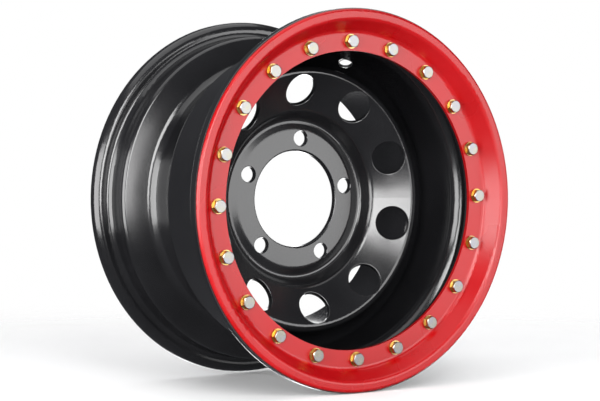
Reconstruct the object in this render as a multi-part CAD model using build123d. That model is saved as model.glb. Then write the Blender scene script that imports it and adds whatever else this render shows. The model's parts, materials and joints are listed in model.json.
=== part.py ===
from build123d import *
import math
import os

# Pressed steel off-road wheel with a bolted ring that looks like a beadlock.
# The wheel turns about Y. Its front faces -Y and +Z is up.
# The origin is on the axis, in the face that meets the vehicle's hub.
# Every section is drawn as (radius, distance out from the hub face) in millimetres.

# Rim size and position
rim_width = 203.2
wheel_offset = -14.0
bead_seat_diameter = 380.2
bead_seat_length = 19.8
bead_seat_angle = 5.0

# Rolled rim section
rim_sheet = 3.5
rear_flange_height = 17.8
rear_lip_length = 13.0
front_flange_height = 19.7
front_lip_length = 16.8
flange_top_radius = 9.5
flange_root_radius = 6.5
hump_height = 1.2
hump_rise_length = 3.8
rear_hump_top_length = 5.5
front_hump_top_length = 4.0
hump_radius = 5.0
well_depth = 35.1
well_width = 27.4
well_wall_run = 11.5
well_slope_angle = 29.8
well_rear_radius = 12.0
well_front_radius = 12.0
ledge_depth = 14.8
ledge_wall_run = 8.0
ledge_rear_radius = 12.0
ledge_front_radius = 12.0

# Valve hole at the top of the slope between well and ledge
valve_hole_diameter = 15.8
valve_hole_setback = 2.3
valve_hole_angle = 67.6
valve_hole_bevel = 0.8

# Pressed disc section
disc_sheet = 6.0
bore_stud_margin = 5.95
bore_edge_radius = 2.0
hub_face_margin = 9.15
hub_face_bend = 12.0
groove_fall_run = 8.5
groove_width = 4.0
groove_depth = 2.2
groove_inner_bend = 8.0
groove_outer_bend = 5.0
wall_run = 8.5
wall_height = 10.9
wall_top_bend = 12.0
slope_angle = 28.4
crown_bend = 7.2
disc_skirt_setback = 15.0
disc_fit_clearance = 0.1

# Stud holes and vent holes
stud_count = 5
stud_circle_diameter = 139.7
stud_hole_diameter = 17.8
stud_hole_bevel = 0.8
first_stud_angle = 12.1
vent_count = 10
vent_outer_margin = 10.5
vent_inner_margin = 7.5
vent_edge_radius = 1.2
first_vent_angle = 22.3

# Weld between the disc skirt and the well
disc_weld_leg = 5.0
disc_weld_count = 10
disc_weld_arc = 24.0

# Bolted ring
ring_sheet = 4.0
ring_edge_inset = 1.0
ring_lip_width = 11.4
ring_step_angle = 56.2
ring_bolt_edge_distance = 10.1
ring_step_inner_bend = 6.0
ring_step_outer_bend = 5.5
ring_front_edge_radius = 3.2
ring_back_edge_radius = 0.6

# Mounting ring behind it, welded in the mouth of the rim
mount_ring_sheet = 5.0
mount_ring_inset = 6.1
mount_ring_setback = 1.5
mount_ring_clearance = 0.1
mount_weld_leg = 3.0

# Ring fasteners
bolt_count = 20
bolt_diameter = 8.0
bolt_hole_clearance = 1.0
bolt_length = 10.0
bolt_tip_chamfer = 0.8
hex_across_flats = 13.0
head_height = 5.3
hex_chamfer_angle = 30.0
hex_crown_share = 0.95
washer_diameter = 16.0
washer_sheet = 1.6
washer_bore_clearance = 0.4
washer_gap = 0.1
thread_clearance = 0.1
first_bolt_angle = 1.2
bolt_turn_step = 37.0

# Radius difference below which a hole counts as one of its pattern
edge_match = 0.01

# Values that follow from the sizes above
bead_seat_radius = bead_seat_diameter / 2
front_flange = rim_width / 2 - wheel_offset
rear_flange = -rim_width / 2 - wheel_offset
seat_fall = bead_seat_length * math.tan(math.radians(bead_seat_angle))
seat_end_radius = bead_seat_radius - seat_fall
hump_top_radius = seat_end_radius + hump_height
rear_hump = rear_flange + bead_seat_length + hump_rise_length
front_hump = front_flange - bead_seat_length - hump_rise_length
well_radius = bead_seat_radius - well_depth
ledge_radius = bead_seat_radius - ledge_depth
well_rear = rear_hump + rear_hump_top_length + well_wall_run
well_front = well_rear + well_width
ledge_rear = well_front + (ledge_radius - well_radius) / math.tan(math.radians(well_slope_angle))
ledge_front = front_hump - front_hump_top_length - ledge_wall_run
front_lip_end = front_flange + front_lip_length
rear_lip_end = rear_flange - rear_lip_length
hub_front = disc_sheet
centre_bore_radius = (stud_circle_diameter - stud_hole_diameter) / 2 - bore_stud_margin
hub_face_radius = stud_circle_diameter / 2 + hub_face_margin
groove_inner_radius = hub_face_radius + groove_fall_run
groove_outer_radius = groove_inner_radius + groove_width
wall_top_radius = groove_outer_radius + wall_run
disc_skirt_radius = well_radius - rim_sheet - disc_fit_clearance
disc_skirt_end = well_rear + disc_skirt_setback
vent_inner_edge = wall_top_radius + vent_inner_margin
vent_outer_edge = disc_skirt_radius - vent_outer_margin
vent_circle_radius = (vent_inner_edge + vent_outer_edge) / 2
vent_diameter = (vent_outer_edge - vent_inner_edge) / math.cos(math.radians(slope_angle))
mount_ring_back = front_flange - mount_ring_inset
ring_back_out = mount_ring_back + mount_ring_sheet
ring_face_out = ring_back_out + ring_sheet
ring_lip_out = front_lip_end + ring_sheet
ring_outer_radius = bead_seat_radius + front_flange_height - ring_edge_inset
ring_step_outer_radius = ring_outer_radius - ring_lip_width
ring_step_run = (ring_lip_out - ring_face_out) / math.tan(math.radians(ring_step_angle))
ring_step_inner_radius = ring_step_outer_radius - ring_step_run
ring_flat_edge = ring_step_inner_radius - ring_step_inner_bend * math.tan(math.radians(ring_step_angle / 2))
bolt_circle_radius = ring_flat_edge - washer_gap - washer_diameter / 2
ring_inner_radius = bolt_circle_radius - ring_bolt_edge_distance
mount_ring_inner_radius = ring_inner_radius + mount_ring_setback
washer_front = ring_face_out + washer_sheet


def section_point(radius, out):
    """Place a section point: radius along X, distance out along -Y."""
    return (radius, -out)


def seat_inner_radius(out):
    """Radius of the inside of the front bead seat at a distance out."""
    slope = math.radians(bead_seat_angle)
    face_radius = bead_seat_radius - (front_flange - out) * math.tan(slope)
    return face_radius - rim_sheet / math.cos(slope)


def sheet_section(corners, radii, sheet):
    """Face of a bent sheet: a rounded path and the same path one sheet thickness to its left."""
    points = [Vector(*section_point(*corner)) for corner in corners]
    runs = [(end - start).normalized() for start, end in zip(points, points[1:])]
    sides = [Vector(-run.Y, run.X) for run in runs]
    far_points = [points[0] + sides[0] * sheet]
    far_radii = []
    for point, before, after, run, radius in zip(points[1:], sides, sides[1:], runs, radii):
        far_points.append(point + (before + after) * (sheet / (1 + before.dot(after))))
        turns_left = run.dot(after) < 0
        far_radii.append(radius - sheet if turns_left else radius + sheet)
    far_points.append(points[-1] + sides[-1] * sheet)
    near = FilletPolyline(*points, radius=radii)
    far = FilletPolyline(*far_points, radius=far_radii)
    ends = [Line(points[0], far_points[0]), Line(points[-1], far_points[-1])]
    return make_face(near.edges() + far.edges() + [end.edge() for end in ends])


def spin(section, arc=360.0):
    """Turn a section about the wheel axis."""
    return revolve(section, axis=Axis.Y, revolution_arc=arc)


def facing_front(radius, angle, out, turn=0.0):
    """Plane on a circle about the axis that looks out of the wheel's front."""
    angle = math.radians(angle)
    origin = (radius * math.cos(angle), -out, radius * math.sin(angle))
    turn = math.radians(turn)
    across = (math.cos(turn), 0, math.sin(turn))
    return Plane(origin=origin, x_dir=across, z_dir=(0, -1, 0))


def leaning_plane(radius, angle, out, lean):
    """Plane on a circle about the axis whose normal leans from the front towards the axis."""
    angle = math.radians(angle)
    lean = math.radians(lean)
    origin = (radius * math.cos(angle), -out, radius * math.sin(angle))
    normal = (-math.sin(lean) * math.cos(angle), -math.cos(lean), -math.sin(lean) * math.sin(angle))
    across = (-math.sin(angle), 0, math.cos(angle))
    return Plane(origin=origin, x_dir=across, z_dir=normal)


def pattern_angles(first, count):
    """Angles of a pattern spread evenly round the wheel."""
    return [first + index * 360 / count for index in range(count)]


def make_rim():
    """Rolled rim: flanges, bead seats with humps, the drop-centre well and the front ledge."""
    corners = [
        (bead_seat_radius + rear_flange_height, rear_lip_end),
        (bead_seat_radius + rear_flange_height, rear_flange),
        (bead_seat_radius, rear_flange),
        (seat_end_radius, rear_flange + bead_seat_length),
        (hump_top_radius, rear_hump),
        (hump_top_radius, rear_hump + rear_hump_top_length),
        (well_radius, well_rear),
        (well_radius, well_front),
        (ledge_radius, ledge_rear),
        (ledge_radius, ledge_front),
        (hump_top_radius, front_hump - front_hump_top_length),
        (hump_top_radius, front_hump),
        (seat_end_radius, front_flange - bead_seat_length),
        (bead_seat_radius, front_flange),
        (bead_seat_radius + front_flange_height, front_flange),
        (bead_seat_radius + front_flange_height, front_lip_end),
    ]
    radii = [
        flange_top_radius,
        flange_root_radius,
        hump_radius,
        hump_radius,
        hump_radius,
        well_rear_radius,
        well_front_radius,
        ledge_rear_radius,
        ledge_front_radius,
        hump_radius,
        hump_radius,
        hump_radius,
        flange_root_radius,
        flange_top_radius,
    ]
    rim = spin(sheet_section(corners[::-1], radii[::-1], rim_sheet))
    slope = math.radians(well_slope_angle)
    hole_circle = ledge_radius - rim_sheet / math.cos(slope) - valve_hole_setback * math.tan(slope)
    hole_out = ledge_rear - valve_hole_setback
    hole = leaning_plane(hole_circle, valve_hole_angle, hole_out, 90 - well_slope_angle)
    hole_radius = valve_hole_diameter / 2
    rim -= hole * Cylinder(hole_radius, 8 * rim_sheet)
    rim -= hole * Cone(hole_radius, hole_radius + 2 * valve_hole_bevel, 2 * valve_hole_bevel)
    return rim


def front_edges(part, radius):
    """Front edges of the round holes of one radius."""
    edges = []
    for wall in part.faces().filter_by(GeomType.CYLINDER):
        if abs(wall.radius - radius) < edge_match:
            rims = wall.edges().filter_by(GeomType.LINE, reverse=True)
            edges += [rim for rim in rims if rim.center().Y < wall.center().Y]
    return edges


def make_disc():
    """Pressed disc: hub face, groove, vented slope, crown and the skirt that fits the well."""
    crown_rise = (disc_skirt_radius - wall_top_radius) * math.tan(math.radians(slope_angle))
    wall_top = hub_front + wall_height
    corners = [
        (centre_bore_radius, hub_front),
        (hub_face_radius, hub_front),
        (groove_inner_radius, hub_front - groove_depth),
        (groove_outer_radius, hub_front - groove_depth),
        (wall_top_radius, wall_top),
        (disc_skirt_radius, wall_top + crown_rise),
        (disc_skirt_radius, disc_skirt_end),
    ]
    radii = [hub_face_bend, groove_inner_bend, groove_outer_bend, wall_top_bend, crown_bend]
    disc = spin(sheet_section(corners, radii, disc_sheet))
    for angle in pattern_angles(first_stud_angle, stud_count):
        hole = facing_front(stud_circle_diameter / 2, angle, hub_front)
        disc -= hole * Cylinder(stud_hole_diameter / 2, 4 * disc_sheet)
    vent_rise = (vent_circle_radius - wall_top_radius) * math.tan(math.radians(slope_angle))
    for angle in pattern_angles(first_vent_angle, vent_count):
        hole = leaning_plane(vent_circle_radius, angle, wall_top + vent_rise, slope_angle)
        disc -= hole * Cylinder(vent_diameter / 2, 4 * disc_sheet)
    disc = fillet(front_edges(disc, vent_diameter / 2), vent_edge_radius)
    disc = chamfer(front_edges(disc, stud_hole_diameter / 2), stud_hole_bevel)
    return fillet(front_edges(disc, centre_bore_radius), bore_edge_radius)


def make_disc_welds():
    """Stitches of weld in the corner behind the disc skirt."""
    well_inside = well_radius - rim_sheet
    toe = section_point(disc_skirt_radius - disc_weld_leg, disc_skirt_end)
    root = section_point(well_inside, disc_skirt_end)
    heel = section_point(well_inside, disc_skirt_end - disc_weld_leg)
    section = make_face(Polyline(toe, root, heel, close=True).edges())
    stitch = spin(section, disc_weld_arc)
    angles = pattern_angles(first_vent_angle - disc_weld_arc / 2, disc_weld_count)
    return Compound([Rot(0, -angle, 0) * stitch for angle in angles])


def make_mount_ring():
    """Flat tapped ring in the mouth of the rim that the outer ring bolts to."""
    outer = seat_inner_radius(mount_ring_back) - mount_ring_clearance
    inner_back = section_point(mount_ring_inner_radius, mount_ring_back)
    outer_front = section_point(outer, ring_back_out)
    corners = [inner_back, (outer_front[0], inner_back[1]), outer_front, (inner_back[0], outer_front[1])]
    ring = spin(make_face(Polyline(*corners, close=True).edges()))
    return ring - bolt_holes(ring_back_out, bolt_diameter + 2 * thread_clearance)


def make_mount_weld():
    """Fillet weld behind the mounting ring."""
    toe = section_point(seat_inner_radius(mount_ring_back) - mount_weld_leg, mount_ring_back)
    root = section_point(seat_inner_radius(mount_ring_back), mount_ring_back)
    heel_out = mount_ring_back - mount_weld_leg
    heel = section_point(seat_inner_radius(heel_out), heel_out)
    return spin(make_face(Polyline(toe, root, heel, close=True).edges()))


def make_outer_ring():
    """Pressed ring: bolted flat, the step forward and the lip over the rim's front edge."""
    corners = [
        (ring_inner_radius, ring_face_out),
        (ring_step_inner_radius, ring_face_out),
        (ring_step_outer_radius, ring_lip_out),
        (ring_outer_radius, ring_lip_out),
    ]
    radii = [ring_step_inner_bend, ring_step_outer_bend]
    section = sheet_section(corners, radii, ring_sheet)
    edge = section.vertices().group_by(Axis.X)[-1].sort_by(Axis.Y)
    section = fillet(edge[0], ring_front_edge_radius)
    edge = section.vertices().group_by(Axis.X)[-1].sort_by(Axis.Y)
    section = fillet(edge[-1], ring_back_edge_radius)
    return spin(section) - bolt_holes(ring_face_out, bolt_diameter + bolt_hole_clearance)


def bolt_holes(out, diameter):
    """Drills for the ring's bolt circle."""
    drill = Cylinder(diameter / 2, 4 * mount_ring_sheet)
    angles = pattern_angles(first_bolt_angle, bolt_count)
    return [facing_front(bolt_circle_radius, angle, out) * drill for angle in angles]


def hex_body(height):
    """Hexagon with one chamfered face, standing on its flat side."""
    corner_radius = hex_across_flats / math.sqrt(3)
    crown_radius = hex_across_flats / 2 * hex_crown_share
    fall = (corner_radius - crown_radius) * math.tan(math.radians(hex_chamfer_angle))
    body = extrude(RegularPolygon(hex_across_flats / 2, 6, major_radius=False), height)
    outline = [(0, 0), (corner_radius, 0), (corner_radius, height - fall), (crown_radius, height), (0, height)]
    round_profile = make_face(Polyline(*outline, close=True).edges())
    return body & revolve(Plane.XZ * round_profile, axis=Axis.Z)


def make_bolt():
    """Hex bolt, its head standing on the washer."""
    shank = Pos(0, 0, -bolt_length) * Cylinder(
        bolt_diameter / 2, bolt_length, align=(Align.CENTER, Align.CENTER, Align.MIN)
    )
    shank = chamfer(shank.faces().sort_by(Axis.Z)[0].edges(), bolt_tip_chamfer)
    return hex_body(head_height) + shank


def make_washer():
    """Flat washer under a bolt head."""
    bore = bolt_diameter / 2 + washer_bore_clearance / 2
    standing = (Align.CENTER, Align.CENTER, Align.MIN)
    washer = Cylinder(washer_diameter / 2, washer_sheet, align=standing)
    return washer - Cylinder(bore, washer_sheet, align=standing)


def round_the_ring(piece, out, turn_step):
    """Set one fastener at every place of the bolt circle, each turned a little further."""
    placed = []
    for index, angle in enumerate(pattern_angles(first_bolt_angle, bolt_count)):
        placed.append(facing_front(bolt_circle_radius, angle, out, index * turn_step) * piece)
    return Compound(placed)


nodes = {
    "rim_barrel": make_rim(),
    "wheel_disc": make_disc(),
    "disc_welds": make_disc_welds(),
    "ring_mount": make_mount_ring(),
    "ring_mount_weld": make_mount_weld(),
    "outer_ring": make_outer_ring(),
    "ring_bolts": round_the_ring(make_bolt(), washer_front, bolt_turn_step),
    "ring_washers": round_the_ring(make_washer(), ring_face_out, bolt_turn_step),
}

os.makedirs("parts", exist_ok=True)
for name, piece in nodes.items():
    export_step(piece, f"parts/{name}.step")
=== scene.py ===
import json
import math

import bpy
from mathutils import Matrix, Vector


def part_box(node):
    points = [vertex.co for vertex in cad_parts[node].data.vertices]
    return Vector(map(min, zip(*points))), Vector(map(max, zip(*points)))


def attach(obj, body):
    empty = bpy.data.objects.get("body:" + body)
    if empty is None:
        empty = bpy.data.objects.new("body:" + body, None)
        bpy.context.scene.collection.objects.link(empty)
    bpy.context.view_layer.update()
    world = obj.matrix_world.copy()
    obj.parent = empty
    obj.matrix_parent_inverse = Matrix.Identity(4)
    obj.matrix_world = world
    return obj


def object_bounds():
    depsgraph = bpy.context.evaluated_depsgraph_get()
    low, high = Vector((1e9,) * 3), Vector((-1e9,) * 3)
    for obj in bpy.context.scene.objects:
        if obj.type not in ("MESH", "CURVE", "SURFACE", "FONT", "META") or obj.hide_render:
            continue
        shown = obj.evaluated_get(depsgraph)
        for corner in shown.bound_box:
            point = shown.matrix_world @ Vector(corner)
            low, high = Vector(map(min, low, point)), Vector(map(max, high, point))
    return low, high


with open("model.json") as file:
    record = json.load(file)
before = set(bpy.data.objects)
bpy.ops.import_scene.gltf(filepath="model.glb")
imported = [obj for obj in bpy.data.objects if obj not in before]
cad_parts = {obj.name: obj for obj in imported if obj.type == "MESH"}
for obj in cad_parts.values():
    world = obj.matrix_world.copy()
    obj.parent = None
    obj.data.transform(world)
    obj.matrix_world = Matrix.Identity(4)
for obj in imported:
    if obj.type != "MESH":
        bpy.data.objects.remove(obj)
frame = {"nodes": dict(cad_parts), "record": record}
cad_low, cad_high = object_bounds()
nodes = frame["nodes"]

# Lengths are in metres and angles in degrees. The wheel turns about Y and faces -Y.
MILLIMETRE = 0.001
SMOOTH_ANGLE = 32.0

# Weld beads, drawn as overlapping ripples on the plain fillets
DISC_STITCHES = 10
DISC_STITCH_ARC = 24.0
DISC_STITCH_FIRST = 22.3
RIPPLE_PITCH_SHARE = 0.42
RIPPLE_SIZE_SHARE = 0.50
RIPPLE_DEPTH_SHARE = 0.34
RIPPLE_JITTER = 0.12
RIPPLE_SEGMENTS = 10
RIPPLE_RINGS = 6
RIPPLE_ARC_POINTS = 96
RIPPLE_SEED = 4

# Bright steel ring round the valve hole: a painted highlight that stands in for the glint on the hole's
# glossy painted edge
VALVE_EDGE_WIRE = 0.0005
VALVE_EDGE_STEPS = 64
VALVE_EDGE_SIDES = 10

# Finishes: linear red, green and blue at the two ends of their clouding
BLACK_COLOURS = ((0.004, 0.004, 0.0045), (0.009, 0.009, 0.010))
RED_COLOURS = ((0.255, 0.001, 0.002), (0.295, 0.001, 0.003))
GOLD_COLOURS = ((0.50, 0.40, 0.20), (0.52, 0.34, 0.08))
PALE_COLOURS = ((0.225, 0.225, 0.245), (0.25, 0.24, 0.19))
# Bright steel of the valve-hole ring, a painted highlight
GLINT_STEEL_COLOURS = ((0.55, 0.55, 0.56), (0.72, 0.72, 0.73))
FLOOR_COLOURS = ((0.90, 0.90, 0.90), (0.93, 0.93, 0.93))

# Noise values at which a finish reaches the ends of its range
CLOUD_LOW = 0.3
CLOUD_HIGH = 0.7
FILM_LOW = 0.34
FILM_HIGH = 0.70

# Depth behind the faces of the bolt heads over which their plate turns from pale to gold
ZINC_RUB_START = 0.0002
ZINC_RUB_END = 0.0008

# Camera
CAMERA_AZIMUTH = -34.16
CAMERA_ELEVATION = 1.29
CAMERA_DISTANCE = 2.0770
CAMERA_RIGHT = 0.00835
CAMERA_UP = -0.00202
CAMERA_LENS = 108.4
SENSOR_WIDTH = 36.0

# Floor
FLOOR_SIZE = 4.0
FLOOR_FADE_START = 0.35
FLOOR_FADE_END = 1.2

# Softboxes, with their strength in watts for each square metre
SOFTBOXES = {
    "front_softbox": dict(azimuth=14, elevation=6, distance=2.6, width=3.6, height=1.4, strength=12.6),
    "slope_softbox": dict(azimuth=-22, elevation=16, distance=2.5, width=0.8, height=1.9, strength=36.0),
    "left_softbox": dict(azimuth=-76, elevation=4, distance=2.4, width=3.0, height=1.8, strength=25.0),
    "top_softbox": dict(azimuth=0, elevation=88, distance=3.0, width=4.0, height=4.0, strength=4.1),
    "rear_softbox": dict(azimuth=138, elevation=-6, distance=2.5, width=2.2, height=1.8, strength=14.0),
}

# Background, as the camera sees it and as the paint mirrors it
BACKDROP_COLOUR = (1.0, 1.0, 1.0)
BACKDROP_STRENGTH = 1.0
ROOM_COLOUR = (0.9, 0.92, 1.0)
ROOM_STRENGTH = 0.12


def direction(azimuth, elevation):
    """Unit vector from the wheel towards an azimuth, 0 being the front, and an elevation."""
    across = math.radians(azimuth)
    up = math.radians(elevation)
    return Vector((math.sin(across) * math.cos(up), -math.cos(across) * math.cos(up), math.sin(up)))


def add_object(name, data):
    """New object at the origin of the scene."""
    added = bpy.data.objects.new(name, data)
    bpy.context.scene.collection.objects.link(added)
    return added


def new_material(name):
    """New node material, its node tree and its Principled shader."""
    material = bpy.data.materials.new(name)
    material.use_nodes = True
    tree = material.node_tree
    shader = tree.nodes["Principled BSDF"]
    return material, tree, shader


def object_place(tree):
    """Object coordinates."""
    return tree.nodes.new("ShaderNodeTexCoord").outputs["Object"]


def object_noise(tree, scale, detail):
    """Noise value on object coordinates."""
    noise = tree.nodes.new("ShaderNodeTexNoise")
    noise.inputs["Scale"].default_value = scale
    noise.inputs["Detail"].default_value = detail
    tree.links.new(object_place(tree), noise.inputs["Vector"])
    return noise.outputs["Fac"]


def two_tone(tree, noise, colours, low=CLOUD_LOW, high=CLOUD_HIGH):
    """Colour that goes from the first to the second as the noise rises."""
    node = tree.nodes.new("ShaderNodeValToRGB")
    first, second = node.color_ramp.elements
    first.position = low
    first.color = (*colours[0], 1)
    second.position = high
    second.color = (*colours[1], 1)
    tree.links.new(noise, node.inputs["Fac"])
    return node.outputs["Color"]


def map_range(tree, value, from_min, from_max, to_min, to_max):
    """Map a value from one range to another."""
    node = tree.nodes.new("ShaderNodeMapRange")
    node.inputs["From Min"].default_value = from_min
    node.inputs["From Max"].default_value = from_max
    node.inputs["To Min"].default_value = to_min
    node.inputs["To Max"].default_value = to_max
    tree.links.new(value, node.inputs["Value"])
    return node


def cloudy_roughness(tree, shader, noise, smooth, rough):
    """Roughness that goes from smooth to rough as the noise rises."""
    node = map_range(tree, noise, CLOUD_LOW, CLOUD_HIGH, smooth, rough)
    tree.links.new(node.outputs["Result"], shader.inputs["Roughness"])


def bump(tree, shader, height, strength, distance):
    """Small relief on the shader's normal."""
    node = tree.nodes.new("ShaderNodeBump")
    node.inputs["Strength"].default_value = strength
    node.inputs["Distance"].default_value = distance
    tree.links.new(height, node.inputs["Height"])
    tree.links.new(node.outputs["Normal"], shader.inputs["Normal"])


def black_paint():
    """Gloss black powder coat with a faint orange peel."""
    material, tree, shader = new_material("black_paint")
    cloud = object_noise(tree, scale=9.0, detail=3.0)
    peel = object_noise(tree, scale=420.0, detail=2.0)
    tree.links.new(two_tone(tree, cloud, BLACK_COLOURS), shader.inputs["Base Color"])
    cloudy_roughness(tree, shader, cloud, smooth=0.15, rough=0.21)
    shader.inputs["Specular IOR Level"].default_value = 0.7
    bump(tree, shader, peel, strength=0.04, distance=0.0004)
    return material


def red_paint():
    """Gloss red paint of the outer ring."""
    material, tree, shader = new_material("red_paint")
    cloud = object_noise(tree, scale=14.0, detail=3.0)
    peel = object_noise(tree, scale=520.0, detail=2.0)
    tree.links.new(two_tone(tree, cloud, RED_COLOURS), shader.inputs["Base Color"])
    cloudy_roughness(tree, shader, cloud, smooth=0.24, rough=0.32)
    shader.inputs["Specular IOR Level"].default_value = 0.42
    bump(tree, shader, peel, strength=0.03, distance=0.0003)
    return material


def yellow_zinc():
    """Yellow zinc plate, gold on washers and flanks and rubbed pale on the faces of the bolt heads."""
    material, tree, shader = new_material("yellow_zinc")
    film = object_noise(tree, scale=110.0, detail=2.0)
    grain = object_noise(tree, scale=1500.0, detail=2.0)
    gold = two_tone(tree, film, GOLD_COLOURS, FILM_LOW, FILM_HIGH)
    pale = two_tone(tree, film, PALE_COLOURS, FILM_LOW, FILM_HIGH)

    head_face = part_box("ring_bolts")[0].y
    place = tree.nodes.new("ShaderNodeSeparateXYZ")
    tree.links.new(object_place(tree), place.inputs["Vector"])
    rub_start = head_face + ZINC_RUB_START
    rub_end = head_face + ZINC_RUB_END
    unrubbed = map_range(tree, place.outputs["Y"], rub_start, rub_end, 0.0, 1.0)

    plate = tree.nodes.new("ShaderNodeMix")
    plate.data_type = "RGBA"
    pale_side = plate.inputs[6]
    gold_side = plate.inputs[7]
    mixed = plate.outputs[2]
    tree.links.new(unrubbed.outputs["Result"], plate.inputs["Factor"])
    tree.links.new(pale, pale_side)
    tree.links.new(gold, gold_side)
    tree.links.new(mixed, shader.inputs["Base Color"])
    cloudy_roughness(tree, shader, grain, smooth=0.24, rough=0.36)
    shader.inputs["Metallic"].default_value = 1.0
    bump(tree, shader, grain, strength=0.05, distance=0.0002)
    return material


def valve_glint_steel():
    """Bright steel that stands in for a glint: a painted highlight, not bare metal."""
    material, tree, shader = new_material("valve_glint_steel")
    grain = object_noise(tree, scale=900.0, detail=2.0)
    tree.links.new(two_tone(tree, grain, GLINT_STEEL_COLOURS), shader.inputs["Base Color"])
    cloudy_roughness(tree, shader, grain, smooth=0.18, rough=0.34)
    shader.inputs["Metallic"].default_value = 1.0
    return material


def floor_paint():
    """Plain pale floor that fades into the white background away from the wheel."""
    material, tree, shader = new_material("floor_paint")
    cloud = object_noise(tree, scale=1.5, detail=3.0)
    tree.links.new(two_tone(tree, cloud, FLOOR_COLOURS), shader.inputs["Base Color"])
    shader.inputs["Roughness"].default_value = 0.7
    shader.inputs["Specular IOR Level"].default_value = 0.1
    distance = tree.nodes.new("ShaderNodeVectorMath")
    distance.operation = "LENGTH"
    tree.links.new(object_place(tree), distance.inputs[0])
    fade = map_range(tree, distance.outputs["Value"], FLOOR_FADE_START, FLOOR_FADE_END, 1.0, 0.0)
    fade.interpolation_type = "SMOOTHSTEP"
    tree.links.new(fade.outputs["Result"], shader.inputs["Alpha"])
    return material


def dress_node(name, material):
    """Give a CAD node its material and smooth shading with crisp edges."""
    node = nodes[name]
    node.data.materials.clear()
    node.data.materials.append(material)
    for face in node.data.polygons:
        face.use_smooth = True
        face.material_index = 0
    edges = node.modifiers.new("crisp_edges", "EDGE_SPLIT")
    edges.split_angle = math.radians(SMOOTH_ANGLE)
    normals = node.modifiers.new("flat_faces_first", "WEIGHTED_NORMAL")
    normals.keep_sharp = True


def ripple_tree():
    """Geometry nodes: ripples along an arc about the wheel axis, repeated as stitches round it."""
    tree = bpy.data.node_groups.new("weld_ripples", "GeometryNodeTree")
    sockets = tree.interface
    sockets.new_socket("Geometry", in_out="OUTPUT", socket_type="NodeSocketGeometry")
    for name in ("Radius", "Back", "First Angle", "Arc", "Pitch", "Width"):
        sockets.new_socket(name, in_out="INPUT", socket_type="NodeSocketFloat")
    sockets.new_socket("Stitches", in_out="INPUT", socket_type="NodeSocketInt")
    sockets.new_socket("Paint", in_out="INPUT", socket_type="NodeSocketMaterial")
    make = tree.nodes.new
    link = tree.links.new
    given = make("NodeGroupInput").outputs

    # The line of one stitch
    arc = make("GeometryNodeCurveArc")
    arc.inputs["Resolution"].default_value = RIPPLE_ARC_POINTS
    link(given["Radius"], arc.inputs["Radius"])
    link(given["First Angle"], arc.inputs["Start Angle"])
    link(given["Arc"], arc.inputs["Sweep Angle"])
    upright = make("GeometryNodeTransform")
    upright.inputs["Rotation"].default_value = (math.radians(90), 0, 0)
    link(arc.outputs["Curve"], upright.inputs["Geometry"])
    steps = make("GeometryNodeResampleCurve")
    steps.mode = "LENGTH"
    link(upright.outputs["Geometry"], steps.inputs["Curve"])
    link(given["Pitch"], steps.inputs["Length"])

    # A ripple at each step, none quite like the next
    ripple = make("GeometryNodeMeshUVSphere")
    ripple.inputs["Segments"].default_value = RIPPLE_SEGMENTS
    ripple.inputs["Rings"].default_value = RIPPLE_RINGS
    link(given["Width"], ripple.inputs["Radius"])
    jitter = make("FunctionNodeRandomValue")
    jitter.data_type = "FLOAT_VECTOR"
    jitter.inputs["Min"].default_value = (1 - RIPPLE_JITTER,) * 3
    jitter.inputs["Max"].default_value = (1 + RIPPLE_JITTER,) * 3
    jitter.inputs["Seed"].default_value = RIPPLE_SEED
    beads = make("GeometryNodeInstanceOnPoints")
    link(steps.outputs["Curve"], beads.inputs["Points"])
    link(ripple.outputs["Mesh"], beads.inputs["Instance"])
    link(jitter.outputs["Value"], beads.inputs["Scale"])

    # The stitches, spread evenly round the axis
    stitches = make("GeometryNodePoints")
    link(given["Stitches"], stitches.inputs["Count"])
    index = make("GeometryNodeInputIndex")
    share = make("ShaderNodeMath")
    share.operation = "DIVIDE"
    link(index.outputs["Index"], share.inputs[0])
    link(given["Stitches"], share.inputs[1])
    turn = make("ShaderNodeMath")
    turn.operation = "MULTIPLY"
    turn.inputs[1].default_value = 2 * math.pi
    link(share.outputs["Value"], turn.inputs[0])
    about_axis = make("ShaderNodeCombineXYZ")
    link(turn.outputs["Value"], about_axis.inputs["Y"])
    round_axis = make("GeometryNodeInstanceOnPoints")
    link(stitches.outputs["Points"], round_axis.inputs["Points"])
    link(beads.outputs["Instances"], round_axis.inputs["Instance"])
    link(about_axis.outputs["Vector"], round_axis.inputs["Rotation"])

    # One painted mesh in the corner of the weld
    set_back = make("ShaderNodeCombineXYZ")
    link(given["Back"], set_back.inputs["Y"])
    move = make("GeometryNodeTransform")
    link(round_axis.outputs["Instances"], move.inputs["Geometry"])
    link(set_back.outputs["Vector"], move.inputs["Translation"])
    real = make("GeometryNodeRealizeInstances")
    link(move.outputs["Geometry"], real.inputs["Geometry"])
    smooth = make("GeometryNodeSetShadeSmooth")
    link(real.outputs["Geometry"], smooth.inputs["Geometry"])
    paint = make("GeometryNodeSetMaterial")
    link(smooth.outputs["Geometry"], paint.inputs["Geometry"])
    link(given["Paint"], paint.inputs["Material"])
    link(paint.outputs["Geometry"], make("NodeGroupOutput").inputs["Geometry"])
    return tree


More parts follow.
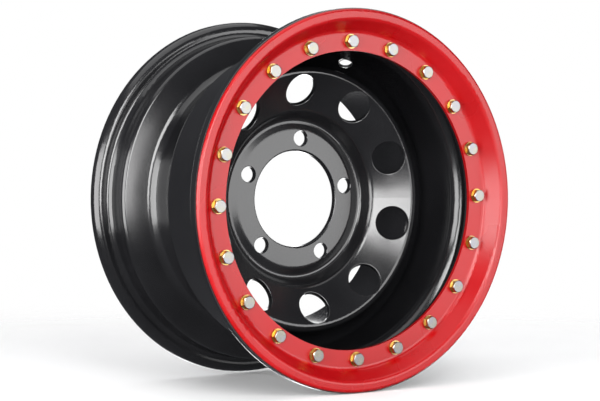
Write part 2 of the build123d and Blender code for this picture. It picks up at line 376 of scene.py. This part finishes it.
def weld_ripples(tree, name, weld, stitches, first, arc, paint):
    """Ripples over one of the plain weld fillets, as a plain mesh."""
    weld_low, weld_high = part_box(weld)
    leg = weld_high.y - weld_low.y
    values = {
        "Radius": weld_high.x - RIPPLE_DEPTH_SHARE * leg,
        "Back": weld_low.y + RIPPLE_DEPTH_SHARE * leg,
        "First Angle": math.radians(first - arc / 2),
        "Arc": math.radians(arc),
        "Pitch": RIPPLE_PITCH_SHARE * leg,
        "Width": RIPPLE_SIZE_SHARE * leg,
        "Stitches": stitches,
        "Paint": paint,
    }
    maker = add_object(name + "_maker", bpy.data.meshes.new(name + "_maker"))
    modifier = maker.modifiers.new("ripples", "NODES")
    modifier.node_group = tree
    for socket in tree.interface.items_tree:
        if socket.in_out == "INPUT":
            modifier[socket.identifier] = values[socket.name]
    bpy.context.view_layer.update()
    finished = maker.evaluated_get(bpy.context.evaluated_depsgraph_get())
    mesh = bpy.data.meshes.new_from_object(finished)
    bpy.data.objects.remove(maker)
    mesh.name = name
    beads = add_object(name, mesh)
    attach(beads, "root")


def valve_hole_glint_ring(material):
    """Bright steel ring round the mouth of the valve hole, a painted highlight for the glint on its
    glossy painted edge.
    """
    mount = next(mount for mount in frame["record"]["mounts"] if mount["name"] == "valve_hole")
    hole_radius = mount["dims"]["r_mm"] * MILLIMETRE
    hole_length = mount["dims"]["length_mm"] * MILLIMETRE
    axis = Vector(mount["axis"]).normalized()
    across = axis.orthogonal().normalized()
    along = axis.cross(across)
    mouth = Vector(mount["pos_m"]) - axis * hole_length / 2
    points = []
    faces = []
    for step in range(VALVE_EDGE_STEPS):
        turn = 2 * math.pi * step / VALVE_EDGE_STEPS
        spoke = across * math.cos(turn) + along * math.sin(turn)
        near = step * VALVE_EDGE_SIDES
        far = (step + 1) % VALVE_EDGE_STEPS * VALVE_EDGE_SIDES
        for side in range(VALVE_EDGE_SIDES):
            roll = 2 * math.pi * side / VALVE_EDGE_SIDES
            reach = hole_radius + VALVE_EDGE_WIRE * math.cos(roll)
            points.append(mouth + spoke * reach + axis * VALVE_EDGE_WIRE * math.sin(roll))
            beside = (side + 1) % VALVE_EDGE_SIDES
            faces.append((near + side, far + side, far + beside, near + beside))
    mesh = bpy.data.meshes.new("valve_hole_glint_ring")
    mesh.from_pydata(points, [], faces)
    mesh.shade_smooth()
    mesh.materials.append(material)
    edge = add_object("valve_hole_glint_ring", mesh)
    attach(edge, "root")


def softbox(name, azimuth, elevation, distance, width, height, strength):
    """Softbox that looks at the wheel from a direction and stays out of the picture."""
    data = bpy.data.lights.new(name, "AREA")
    data.shape = "RECTANGLE"
    data.size = width
    data.size_y = height
    data.energy = strength * width * height
    light = add_object(name, data)
    light.visible_camera = False
    way = direction(azimuth, elevation)
    light.location = way * distance
    light.rotation_mode = "QUATERNION"
    light.rotation_quaternion = way.to_track_quat("Z", "Y")


def background(tree, colour, strength):
    """Background shader of one colour."""
    node = tree.nodes.new("ShaderNodeBackground")
    node.inputs["Color"].default_value = (*colour, 1)
    node.inputs["Strength"].default_value = strength
    return node.outputs["Background"]


def studio():
    """Softboxes, and a background that is white to the camera and dim to the paint."""
    bpy.context.scene.view_settings.view_transform = "Standard"
    for name, facts in SOFTBOXES.items():
        softbox(name, **facts)
    world = bpy.data.worlds.new("studio_world")
    bpy.context.scene.world = world
    world.use_nodes = True
    tree = world.node_tree
    tree.nodes.clear()
    seen = tree.nodes.new("ShaderNodeLightPath")
    choose = tree.nodes.new("ShaderNodeMixShader")
    output = tree.nodes.new("ShaderNodeOutputWorld")
    tree.links.new(seen.outputs["Is Camera Ray"], choose.inputs["Fac"])
    tree.links.new(background(tree, ROOM_COLOUR, ROOM_STRENGTH), choose.inputs[1])
    tree.links.new(background(tree, BACKDROP_COLOUR, BACKDROP_STRENGTH), choose.inputs[2])
    tree.links.new(choose.outputs["Shader"], output.inputs["Surface"])


def add_floor():
    """Floor under the wheel, which the paint doesn't mirror."""
    half = FLOOR_SIZE / 2
    mesh = bpy.data.meshes.new("floor")
    corners = [(-half, -half), (half, -half), (half, half), (-half, half)]
    mesh.from_pydata([(x, y, cad_low.z) for x, y in corners], [], [(0, 1, 2, 3)])
    mesh.materials.append(floor_paint())
    floor = add_object("floor", mesh)
    floor.visible_glossy = False


def add_camera():
    """Camera at the photo's angle."""
    data = bpy.data.cameras.new("camera")
    data.lens = CAMERA_LENS
    data.sensor_width = SENSOR_WIDTH
    camera = add_object("camera", data)
    turn = math.radians(CAMERA_AZIMUTH)
    back = direction(CAMERA_AZIMUTH, CAMERA_ELEVATION)
    right = Vector((math.cos(turn), math.sin(turn), 0))
    up = back.cross(right)
    camera.location = back * CAMERA_DISTANCE + right * CAMERA_RIGHT + up * CAMERA_UP
    camera.rotation_mode = "QUATERNION"
    camera.rotation_quaternion = back.to_track_quat("Z", "Y")
    bpy.context.scene.camera = camera


black = black_paint()
red = red_paint()
zinc = yellow_zinc()
for node_name in ("rim_barrel", "wheel_disc", "disc_welds", "ring_mount", "ring_mount_weld"):
    dress_node(node_name, black)
dress_node("outer_ring", red)
for node_name in ("ring_bolts", "ring_washers"):
    dress_node(node_name, zinc)

# Bright steel ring at the valve hole: a painted highlight for the glint on its painted edge
valve_hole_glint_ring(valve_glint_steel())
ripples = ripple_tree()
weld_ripples(
    ripples,
    "disc_weld_ripples",
    weld="disc_welds",
    stitches=DISC_STITCHES,
    first=DISC_STITCH_FIRST,
    arc=DISC_STITCH_ARC,
    paint=black,
)
weld_ripples(
    ripples,
    "mount_weld_ripples",
    weld="ring_mount_weld",
    stitches=1,
    first=0.0,
    arc=360.0,
    paint=black,
)

add_floor()
add_camera()
studio()
